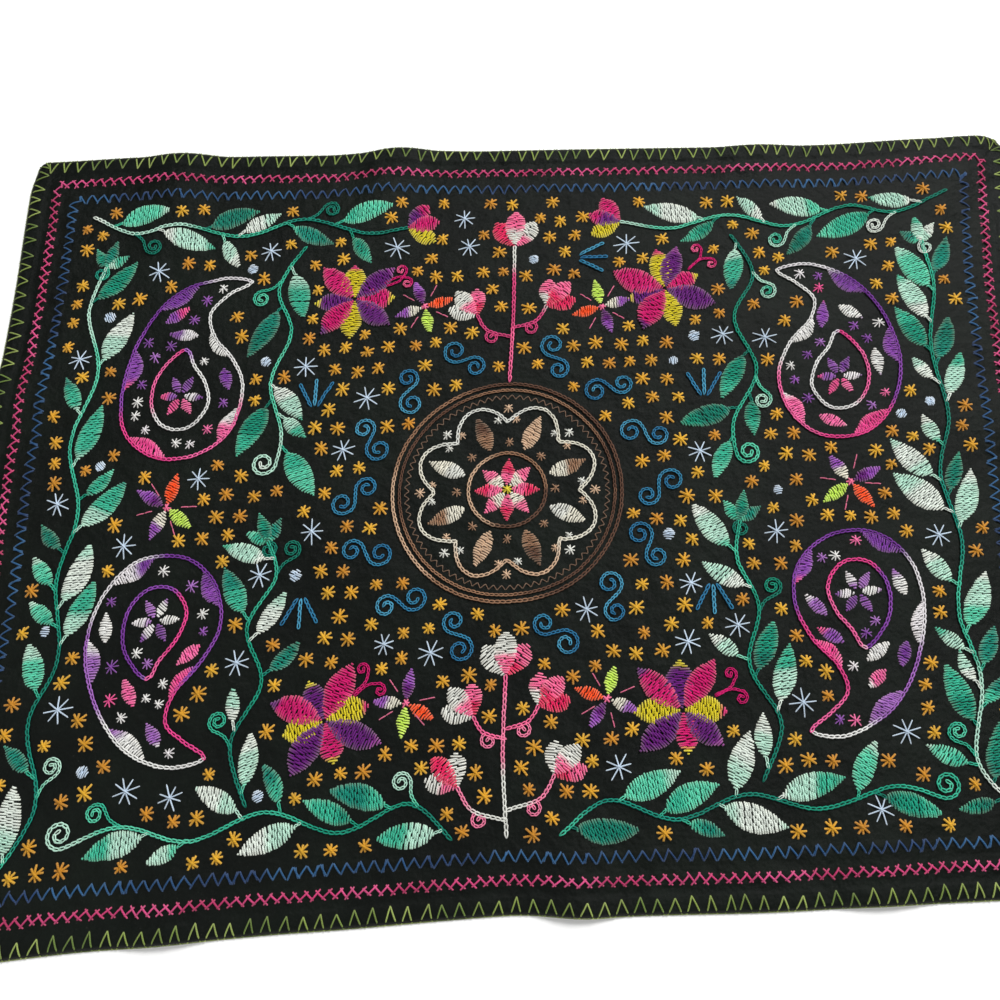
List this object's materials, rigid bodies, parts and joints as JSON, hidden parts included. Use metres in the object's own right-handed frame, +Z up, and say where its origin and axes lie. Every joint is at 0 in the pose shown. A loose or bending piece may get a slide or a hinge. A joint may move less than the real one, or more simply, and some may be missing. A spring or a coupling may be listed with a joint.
{
  "type": "embroidered blanket",
  "caption": "Black cotton blanket laid out flat, turned hem all round, bordered by rows of coloured stitches and covered with hand embroidery of leafy vines, paisleys, flowers and stars.",
  "frame": {"origin": "middle of the bounding box, on the surface the blanket lies on", "axes": "+X to the viewer's right along the blanket's length, +Y away from the viewer to its upper edge, +Z up out of the embroidered face"},
  "size_m": [1.1274, 0.845, 0.0101],
  "materials": {
    "black_cotton": "plain woven black cotton, matte, a little faded",
    "embroidery_thread": "soft twisted cotton embroidery yarn in many colours, slight sheen"
  },
  "bodies": {
    "root": {"blanket_cloth": "black_cotton"}
  },
  "joints": []
}
